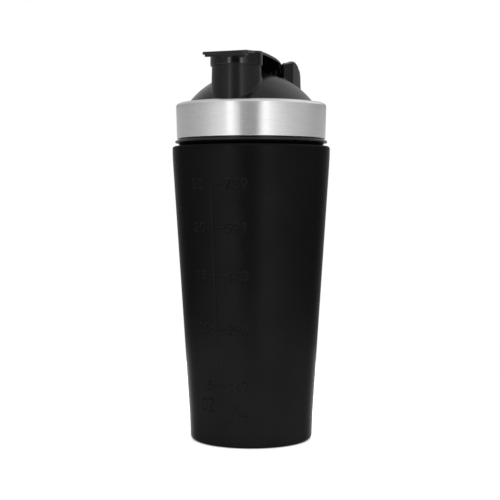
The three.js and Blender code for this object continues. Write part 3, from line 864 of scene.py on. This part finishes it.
def collar():
    """The ring round the spout, with the sealing boss inside it, as one closed outline."""
    outer, inner = COLLAR_RADIUS - 0.02, COLLAR_RADIUS - COLLAR_WALL
    roof = SPOUT_TOP_Z + GAP
    top = roof + 2.6
    boss_foot = SEAL_LOW[2]
    outline = [
        (0, boss_foot), (BOSS_RADIUS - 0.5, boss_foot), (BOSS_RADIUS, boss_foot + 0.5),
        (BOSS_RADIUS, roof), (inner, roof),
        *line((inner, roof - 0.1), (inner, COLLAR_FOOT_Z + 0.3), 1.0),
        (inner + 0.3, COLLAR_FOOT_Z),
        *arc((outer - 0.2, COLLAR_FOOT_Z + 0.2), 0.2, -90, 0, 5),
        (outer, COLLAR_FOOT_Z + 0.3), (outer, COLLAR_FOOT_Z + 2), (outer, COLLAR_FOOT_Z + 4),
        (outer, top), (outer - 1, top), (0, top),
    ]
    verts, faces = revolve(outline, 160)
    return make_object("collar", verts + np.array((0, SPOUT_Y, 0)), faces)


def knuckle(low, high):
    """One hinge knuckle between two places along X."""
    return bevelled("knuckle", *prism(bar_outline(KNUCKLE_RADIUS), low, high), 0.35, 3, 45)


def make_cap(plastic):
    """The cap, with a slot for each ear and a rib in front of the slots that hides the gap over them."""
    slots = (EAR_X[0] - GAP - 0.1, EAR_X[1] + GAP + 0.1)
    cap = ribbon("cap_moulding", cap_width, 0, CAP_THICKNESS, 0.5, (CAP_LOW[1], PIN_Y + 0.8))
    lip = ribbon("lip", lip_width, CAP_THICKNESS - 0.6, LIP_THICKNESS, 0.35, LIP_Y, 60)
    combine(cap, lip, "UNION")
    combine(cap, collar(), "UNION")
    rib_foot = [(PIN_Y - 2.2, PIN_Z + 3.6), (PIN_Y - 3, PIN_Z + 3.05), (PIN_Y - 4, PIN_Z + 2.2),
                (PIN_Y - 4.9, PIN_Z + 1.7)]
    rib = [*rib_foot, (PIN_Y - 5.6, 220.9), (PIN_Y - 6.4, 222.8), (PIN_Y - 2.2, 222.0)]
    rib_end = CAP_HALF_WIDTH - 0.3
    combine(cap, make_object("rib", *prism(rib, -rib_end, rib_end)), "UNION")
    slot = [(PIN_Y - 4.9, 205), (PIN_Y + 9, 205), (PIN_Y + 9, 232), (PIN_Y - 2.2, 232), *rib_foot]
    for side in (1, -1):
        ends = sorted((side * slots[0], side * slots[1]))
        combine(cap, make_object("slot", *prism(slot, *ends)), "DIFFERENCE")
    combine(cap, knuckle(-slots[0], slots[0]), "UNION")
    combine(cap, knuckle(slots[1], CAP_HALF_WIDTH), "UNION")
    combine(cap, knuckle(-CAP_HALF_WIDTH, -slots[1]), "UNION")
    combine(cap, bore(15), "DIFFERENCE")
    tidy_mesh(cap.data, 40, 1e-6)
    flatten_shading(cap)
    dress(cap, "cap", ["flip_cap"], plastic)
    return cap


def make_spout_seal(rubber):
    inner, outer = BOSS_RADIUS + 0.05, SPOUT_BORE - 0.6
    bottom, top = SEAL_LOW[2], SEAL_HIGH[2]
    outline = [
        (inner, bottom + 0.3), (inner + 0.3, bottom), (outer - 0.6, bottom),
        *arc((outer - 0.35, bottom + 1.4), 0.65, -75, 75, 8),
        (outer - 0.15, top - 0.3), (outer - 0.4, top), (inner, top),
    ]
    verts, faces = revolve(outline, 96)
    verts = verts + np.array((0, SPOUT_Y, 0))
    make_object("seal_ring", verts, faces, "cap", "silicone", ["spout_seal"], rubber)


# ---- Carry loop ----

def loop_legs(face):
    """The two straight stretches of a leg's face: from the hinge end out to the bulge, and on back."""
    bulge = (face["side"], LOOP_BULGE_Y)
    return [((face["eye"], LOOP_LOW[1]), bulge), (bulge, (face["side"], face["rear"] - face["corner"]))]


def loop_plan():
    """Matching points along the outer and inner faces in plan, from the right hinge end round the
    back to the left one."""
    spacing = 0.5
    counts = [round(math.dist(*leg) / spacing) for leg in loop_legs(LOOP_OUTER)]
    faces = []
    for face in (LOOP_OUTER, LOOP_INNER):
        side, rear, corner = face["side"], face["rear"], face["corner"]
        half = [point for leg, count in zip(loop_legs(face), counts) for point in even_line(*leg, count)]
        half += arc((side - corner, rear - corner), corner, 0, 90, 16)
        half += even_line((side - corner, rear), (0, rear), 12)[1:] + [(0, rear)]
        faces.append(np.array(half + [(-x, y) for x, y in half[-2::-1]]))
    return faces


def loop_section(outer, inner):
    """Points round the loop's band where its outer and inner faces pass these places in plan: up the
    inner face, over the top and down the outer one, as distance from the inner face and height."""
    edge = LOOP_EDGE
    tops, insets = np.array(LOOP_TOP), np.array(LOOP_INSET)
    reach = math.hypot(*(outer - inner))
    rear = smooth_step(outer[1], 33, 43)
    saddle = math.sqrt((DOME_RADIUS + 1) ** 2 - LOOP_INNER["eye"] ** 2)

    def inset(z):
        return rear * np.interp(z, insets[:, 0], insets[:, 1])

    def top(y):
        return float(np.interp(y, tops[:, 0], tops[:, 1]))

    def bottom(y):
        return max(DOME_Z + math.sqrt(max(saddle ** 2 - y ** 2, 0)), LOOP_LOW[2])

    high_in, high_out = top(inner[1]) - edge, min(top(outer[1]), top(outer[1] - inset(220))) - edge
    low_in, low_out = bottom(inner[1]) + edge, bottom(outer[1]) + edge
    levels = np.linspace(0, 1, 26)[1:-1]
    points = [
        *arc((edge, low_in), edge, 270, 180, 3),
        *[(0, low_in + (high_in - low_in) * t) for t in levels[::4]],
        *arc((edge, high_in), edge, 180, 90, 4),
        *arc((reach - inset(high_out) - edge, high_out), edge, 90, 0, 4),
        *[(reach - inset(z), z) for z in high_out - (high_out - low_out) * levels],
        *arc((reach - inset(low_out) - edge, low_out), edge, 0, -90, 3),
    ]
    across = (outer - inner) / reach
    return [(*(inner + across * u), z) for u, z in points]


def make_loop(plastic):
    rows = np.array([loop_section(outer, inner) for outer, inner in zip(*loop_plan())])
    columns = rows.shape[1]
    faces = grid_faces(len(rows), columns)
    faces += [tuple(range(columns))[::-1], tuple(range((len(rows) - 1) * columns, len(rows) * columns))]
    loop = make_object("loop_band", rows.reshape(-1, 3), faces)
    combine(loop, bore(15.5), "DIFFERENCE")
    tidy_mesh(loop.data, 40, 1e-6)
    flatten_shading(loop)
    dress(loop, "loop", ["carry_loop"], plastic)
    return loop


def make_pin(steel):
    half, radius, edge = PIN_HIGH[0], PIN_RADIUS, 0.35
    outline = [
        (0, -half), (radius - edge, -half), (radius, -half + edge),
        *line((radius, -half + 1), (radius, half - 1), 4),
        (radius, half - edge), (radius - edge, half), (0, half),
    ]
    verts, faces = revolve(outline, 40)
    turned = verts[:, [2, 1, 0]] + np.array((0, PIN_Y, PIN_Z))
    make_object("steel_pin", turned, faces, "lid", "pin_steel", ["hinge_pin"], steel)


def dress_grid(plastic):
    """The mixing grid keeps its own mesh, with its edges broken."""
    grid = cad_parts["mixing_grid"]
    for slot in grid.material_slots:
        slot.material = plastic
    edge = grid.modifiers.new("edges", "BEVEL")
    edge.width = 0.25 * MM
    edge.segments = 2
    edge.limit_method = "ANGLE"
    edge.angle_limit = math.radians(50)


# ---- Studio ----

CAMERA_TURN = math.radians(21.2)  # round from the spout towards the right
CAMERA_DISTANCE = 0.7087
CAMERA_SIDE = -0.0007
CAMERA_HEIGHT = 0.1394
CAMERA_PITCH = math.radians(2.244)
FOCAL_PIXELS = 1196.6
FRAME_PIXELS = 500
SENSOR = 36.0
FLOOR_RADIUS = 0.35
FLOOR_THICKNESS = 0.002

# Brightness of the room by direction in degrees: 0 is behind the camera and a positive angle is
# towards the picture's right. FLOOR_LIGHT is what is seen past the floor's edge, WALL_LIGHT is up to
# the bottle's height, HIGH_LIGHT is above it, where two narrow strip lights stand, and TOP_LIGHT is
# the slope up to ZENITH_LIGHT overhead. ROOM_PEAK is above all of them, and scales the colour ramps.
FLOOR_LIGHT = [(-180, 0.45), (-110, 0.48), (-80, 0.66), (-56, 1.10), (-33, 1.45), (-19.5, 1.38),
               (-15.5, 0.42), (0, 0.34), (9, 0.37), (13.5, 1.36), (24, 1.46), (45, 1.02), (75, 0.70),
               (105, 0.48), (180, 0.45)]
WALL_LIGHT = [(-180, 0.60), (-103, 0.68), (-85, 0.78), (-70, 0.88), (-56, 1.14), (-42, 1.40),
              (-33, 1.46), (-19.5, 1.40), (-15.5, 0.46), (0, 0.40), (9, 0.40), (13.5, 1.36), (24, 1.46),
              (32, 1.36), (40, 1.14), (58, 0.90), (73, 0.80), (89, 0.72), (131, 0.66), (180, 0.60)]
HIGH_LIGHT = [(-180, 0.30), (-120, 0.30), (-78, 0.30), (-62, 0.38), (-50, 0.45), (-43.5, 0.42),
              (-38.2, 0.8), (-35.5, 2.6), (-28, 2.4), (-24, 0.45), (-19, 0.12), (-6, 0.04), (7, 0.04),
              (15, 0.35), (17.5, 2.3), (24, 2.5), (28, 1.5), (34, 1.0), (48, 0.48), (63, 0.30),
              (98, 0.26), (112, 0.13), (126, 0.13), (136, 0.28), (180, 0.28)]
TOP_LIGHT = [(-180, 0.55), (-165, 0.72), (-130, 0.65), (-60, 0.85), (0, 0.90), (60, 1.0), (110, 1.1),
             (135, 1.1), (148, 0.82), (158, 0.67), (168, 0.47), (180, 0.50)]
ZENITH_LIGHT = 0.72
ROOM_PEAK = 3.3
TOP_LAMP_WATTS = 22


def make_camera():
    data = bpy.data.cameras.new("camera")
    data.sensor_width = SENSOR
    data.lens = FOCAL_PIXELS / FRAME_PIXELS * SENSOR
    data.clip_start, data.clip_end = 0.01, 50
    camera = bpy.data.objects.new("camera", data)
    place = Vector((CAMERA_SIDE, -CAMERA_DISTANCE, CAMERA_HEIGHT))
    camera.location = Matrix.Rotation(CAMERA_TURN, 3, "Z") @ place
    camera.rotation_euler = (math.pi / 2 - CAMERA_PITCH, 0, CAMERA_TURN)
    bpy.context.scene.collection.objects.link(camera)
    bpy.context.scene.camera = camera


def make_world():
    """A soft studio room. Where the camera sees past the floor, the room is plain white."""
    world = bpy.data.worlds.new("studio")
    world.use_nodes = True
    tree = world.node_tree
    tree.nodes.clear()

    def add(kind, links=(), **settings):
        return add_node(tree, kind, links, **settings)

    direction = add("ShaderNodeTexCoord").outputs["Generated"]
    links = {"Vector": direction, "Angle": -CAMERA_TURN}
    turned = add("ShaderNodeVectorRotate", links, rotation_type="Z_AXIS").outputs[0]
    split = add("ShaderNodeSeparateXYZ", {"Vector": turned}).outputs
    away = add("ShaderNodeMath", {0: split["Y"], 1: -1.0}, operation="MULTIPLY").outputs[0]
    angle = add("ShaderNodeMath", {0: split["X"], 1: away}, operation="ARCTAN2").outputs[0]
    links = {"Value": angle, "From Min": -math.pi, "From Max": math.pi}
    share = add("ShaderNodeMapRange", links).outputs[0]

    def grey(light):
        return (light / ROOM_PEAK,) * 3 + (1,)

    def ring(lights):
        """The lights all round as one colour ramp, from -180 to 180 degrees."""
        node = add("ShaderNodeValToRGB", {"Fac": share})
        stops = node.color_ramp.elements
        stops[0].color = grey(lights[0][1])
        stops[-1].color = grey(lights[-1][1])
        for degrees, light in lights[1:-1]:
            stops.new((degrees + 180) / 360).color = grey(light)
        return node.outputs["Color"]

    def climb(low, high, below, above):
        """Changes from one light to another as the direction rises between two heights."""
        links = {"Value": split["Z"], "From Min": low, "From Max": high}
        rise = add("ShaderNodeMapRange", links, interpolation_type="SMOOTHSTEP").outputs[0]
        return add("ShaderNodeMix", {0: rise, 6: below, 7: above}, data_type="RGBA").outputs[2]

    light = climb(-0.05, 0.0, ring(FLOOR_LIGHT), ring(WALL_LIGHT))
    light = climb(0.05, 0.10, light, ring(HIGH_LIGHT))
    light = climb(0.15, 0.26, light, ring(TOP_LIGHT))
    light = climb(0.84, 0.94, light, grey(ZENITH_LIGHT))
    room = add("ShaderNodeBackground", {"Color": light, "Strength": ROOM_PEAK}).outputs[0]
    white = add("ShaderNodeBackground", {"Color": (1, 1, 1, 1)}).outputs[0]
    seen = add("ShaderNodeLightPath").outputs["Is Camera Ray"]
    shader = add("ShaderNodeMixShader", {0: seen, 1: room, 2: white}).outputs[0]
    add("ShaderNodeOutputWorld", {"Surface": shader})
    bpy.context.scene.world = world


def make_top_lamp():
    """A wide soft lamp overhead that lights the floor and leaves no reflection on the bottle."""
    data = bpy.data.lights.new("top_lamp", "AREA")
    data.shape, data.size = "DISK", 1.6
    data.energy = TOP_LAMP_WATTS
    lamp = bpy.data.objects.new("top_lamp", data)
    lamp.location = (0, 0, 1.6)
    lamp.visible_glossy = False
    lamp.visible_camera = False
    bpy.context.scene.collection.objects.link(lamp)


def make_floor():
    radius, depth, top = FLOOR_RADIUS / MM, FLOOR_THICKNESS / MM, -0.05
    outline = [(0, -depth), (radius, -depth), (radius, top), (radius * 0.6, top), (0, top)]
    floor = make_object("floor", *revolve(outline, 128))
    floor.data.materials.append(plain_floor())


def set_colour_management():
    view = bpy.context.scene.view_settings
    view.view_transform = "Standard"
    view.look = "None"
    view.exposure = 0
    view.gamma = 1


# ---- Build ----

lid_plastic = moulded_plastic("lid_plastic", 0.0040, 0.0052, 0.24, 0.05, 0.34)
cap_plastic = moulded_plastic("cap_plastic", 0.0026, 0.0036, 0.08, 0.02, 0.6)
grid_plastic = moulded_plastic("grid_plastic", 0.012, 0.016, 0.42, 0.2)
rubber = silicone()

make_cup(powder_coat(), bare_steel("cup_steel", 0.3))
make_lid(lid_plastic)
make_band(brushed_steel())
make_gasket(rubber)
dress_grid(grid_plastic)
make_cap(cap_plastic)
make_spout_seal(rubber)
make_loop(cap_plastic)
make_pin(bare_steel("pin_steel", 0.2))

make_camera()
make_world()
make_top_lamp()
make_floor()
set_colour_management()
